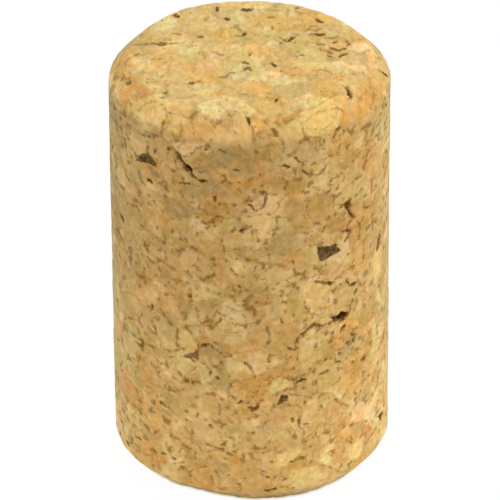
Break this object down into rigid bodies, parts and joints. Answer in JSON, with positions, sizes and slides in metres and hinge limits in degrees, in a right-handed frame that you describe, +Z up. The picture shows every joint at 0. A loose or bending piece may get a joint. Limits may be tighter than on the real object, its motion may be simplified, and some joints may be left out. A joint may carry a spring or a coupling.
{
  "type": "cork stopper",
  "caption": "Cylindrical agglomerated cork stopper with a chamfer on both ends, pressed into a bottle neck or tube to close it.",
  "frame": {"origin": "centre of the lower end face, on the stopper's axis", "axes": "+Z up along the stopper's axis, X and Y free because the body is turned"},
  "size_m": [0.024, 0.024, 0.038],
  "materials": {
    "cork": "matt ground agglomerated cork, tan granules with dark brown bark flecks and open pores"
  },
  "bodies": {
    "root": {"cork_stopper": "cork"}
  },
  "joints": []
}
